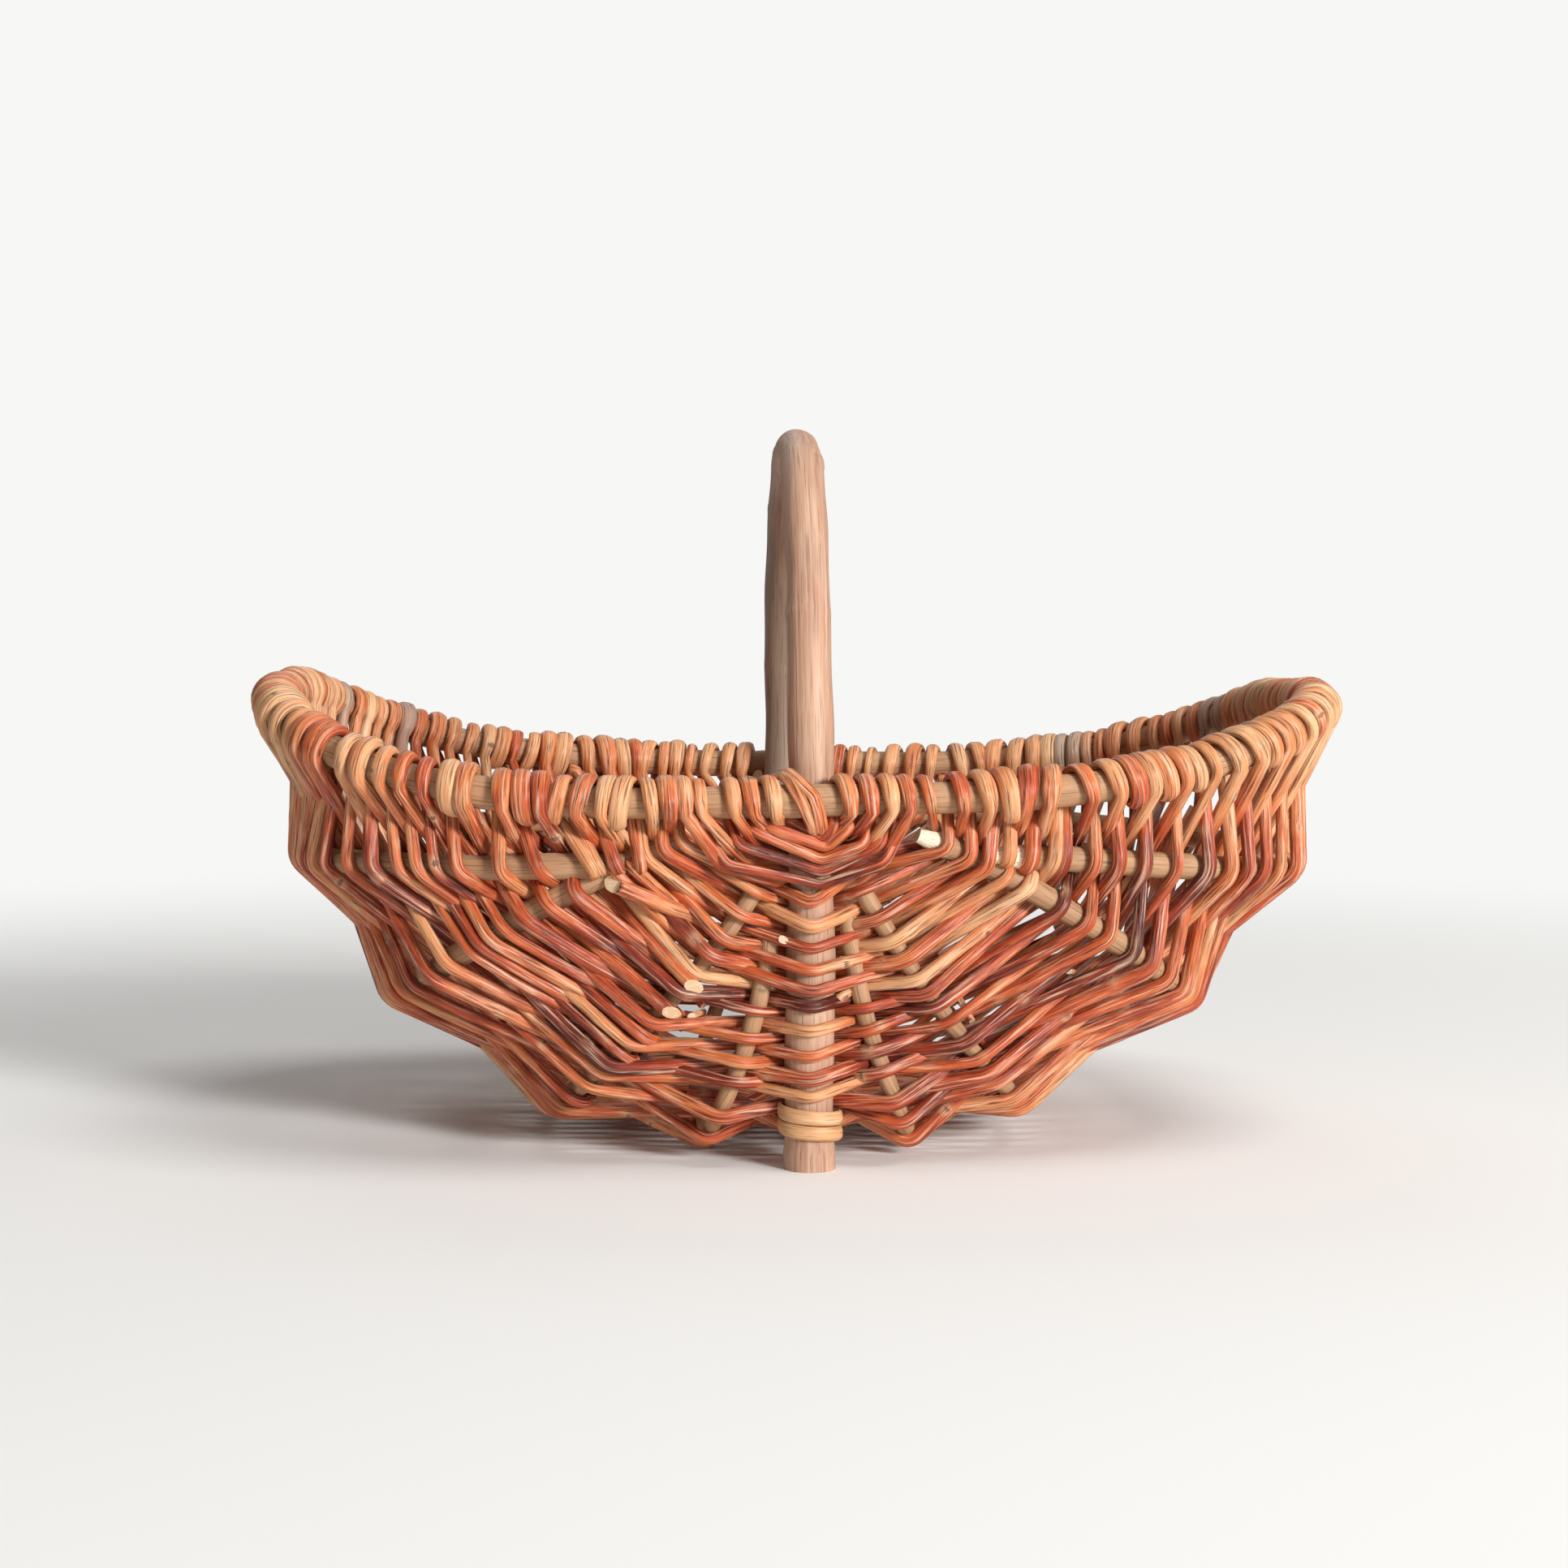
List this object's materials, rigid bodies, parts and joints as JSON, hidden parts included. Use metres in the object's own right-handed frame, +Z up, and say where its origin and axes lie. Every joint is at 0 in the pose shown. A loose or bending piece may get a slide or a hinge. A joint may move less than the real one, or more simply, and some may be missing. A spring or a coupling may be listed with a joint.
{
  "type": "garden basket",
  "caption": "Ribbed willow garden basket: a boat-shaped woven bowl on a bent wooden handle bow whose cut ends are the feet, with a wrapped rim that rises at both tips.",
  "frame": {"origin": "middle of the basket's footprint, on the ground under its two feet", "axes": "+Z up; X along the basket from tip to tip, +X to the right in the picture; the handle bow stands in the YZ plane and -Y is the near side"},
  "size_m": [0.4804, 0.3022, 0.3125],
  "materials": {
    "handle_wood": "smooth bark, satin",
    "rod_wood": "dry bark, matte",
    "weaver_willow": "willow bark, satin",
    "pale_willow": "split willow, satin"
  },
  "bodies": {
    "root": {"handle_bow": "handle_wood", "rim_hoop": "rod_wood", "rib_1_left": "rod_wood", "rib_1_right": "rod_wood", "rib_2_left": "rod_wood", "rib_2_right": "rod_wood", "rib_3_left": "rod_wood", "rib_3_right": "rod_wood", "rib_4_left": "rod_wood", "rib_4_right": "rod_wood", "keel_rib": "rod_wood", "rim_wrap_near_right": "weaver_willow", "rim_wrap_far_right": "weaver_willow", "rim_wrap_far_left": "weaver_willow", "rim_wrap_near_left": "weaver_willow", "leg_collar_near": "pale_willow", "leg_collar_far": "pale_willow", "ear_lashing_near": "weaver_willow", "ear_lashing_far": "weaver_willow", "woven_body_near": "weaver_willow", "woven_body_far": "weaver_willow"}
  },
  "joints": []
}
